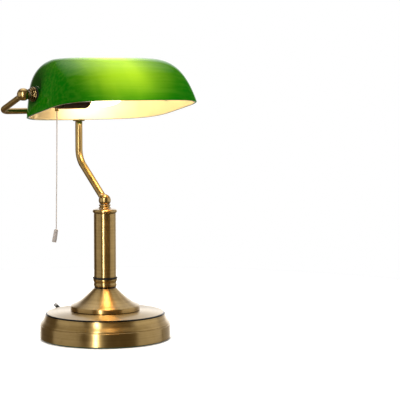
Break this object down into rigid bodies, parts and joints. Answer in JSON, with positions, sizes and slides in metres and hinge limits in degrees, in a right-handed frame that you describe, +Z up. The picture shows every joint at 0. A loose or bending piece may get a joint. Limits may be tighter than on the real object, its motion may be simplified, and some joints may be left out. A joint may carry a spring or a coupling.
{
  "type": "banker desk lamp",
  "caption": "Banker desk lamp: green glass trough shade tilting in a tube yoke, cranked arm turning on a column, round weighted base and a pull cord switch.",
  "frame": {"origin": "centre of the felt pad's underside, on the column's axis", "axes": "+Z up along the column; +X along the shade and its tilt axis, to the right of a reader at the lamp; -Y to the front, the reader's side"},
  "size_m": [0.2632, 0.1825, 0.3784],
  "materials": {
    "brass": "antique brass, brushed and lacquered",
    "iron": "as cast, black dipped",
    "steel": "zinc plated",
    "felt": "dense felt",
    "black_plastic": "moulded, satin",
    "grey_plastic": "moulded, satin",
    "bakelite": "moulded dark brown, polished",
    "ceramic": "glazed white",
    "rubber": "moulded, dull",
    "green_glass": "cased emerald glass with an opal white lining, polished",
    "bulb_glass": "opal white",
    "cord": "braided, pale taupe",
    "bob": "clear taupe, polished",
    "wire": "insulated two-core lead"
  },
  "bodies": {
    "root": {"base_cover": "brass", "base_weight": "iron", "base_plate": "steel", "base_felt_pad": "felt", "base_washer": "steel", "base_nut": "steel", "cord_bushing": "black_plastic", "bushing_collar": "grey_plastic", "base_flare": "brass", "lower_collar": "brass", "collar_gasket": "rubber", "column_tube": "brass", "column_cap": "brass", "neck_cup": "brass", "threaded_rod": "steel", "base_wire": "wire"},
    "arm": {"arm_ball": "brass", "arm_tube": "brass", "arm_flange": "brass", "yoke_hub": "brass", "yoke_tube_left": "brass", "yoke_tube_right": "brass", "end_ball_left": "brass", "end_ball_right": "brass", "grub_screw_hub": "steel", "grub_screw_left": "steel", "grub_screw_right": "steel", "nipple_left": "steel", "nipple_right": "steel", "clamp_nut_left": "brass", "clamp_nut_right": "brass", "lock_nut_left": "steel", "lock_nut_right": "steel", "cap_nut_right": "brass", "holder_cap": "bakelite", "holder_body": "bakelite", "holder_insert": "ceramic", "screw_shell": "brass", "centre_contact": "brass", "pull_spout": "brass", "switch_block": "bakelite", "bulb_glass": "bulb_glass", "bulb_screw_cap": "steel", "arm_wire": "wire"},
    "shade": {"shade_glass": "green_glass", "outer_washer_left": "rubber", "outer_washer_right": "rubber", "inner_washer_left": "rubber", "inner_washer_right": "rubber"},
    "pull": {"pull_lever": "brass", "pull_cord": "cord", "bob_cap": "bob", "cord_bob": "bob"}
  },
  "joints": [
    {"name": "arm_swivel", "type": "hinge", "parent": "root", "child": "arm", "pos_m": [0, 0, 0.182], "axis": [0, 0, 1], "range_deg": [-90, 90]},
    {"name": "shade_tilt", "type": "hinge", "parent": "arm", "child": "shade", "pos_m": [0, 0.004, 0.3303], "axis": [1, 0, 0], "range_deg": [-30, 45]},
    {"name": "pull_cord_travel", "type": "slide", "parent": "arm", "child": "pull", "axis": [0, 0, -1], "range_m": [0, 0.008], "stiffness_N_per_m": 300}
  ]
}
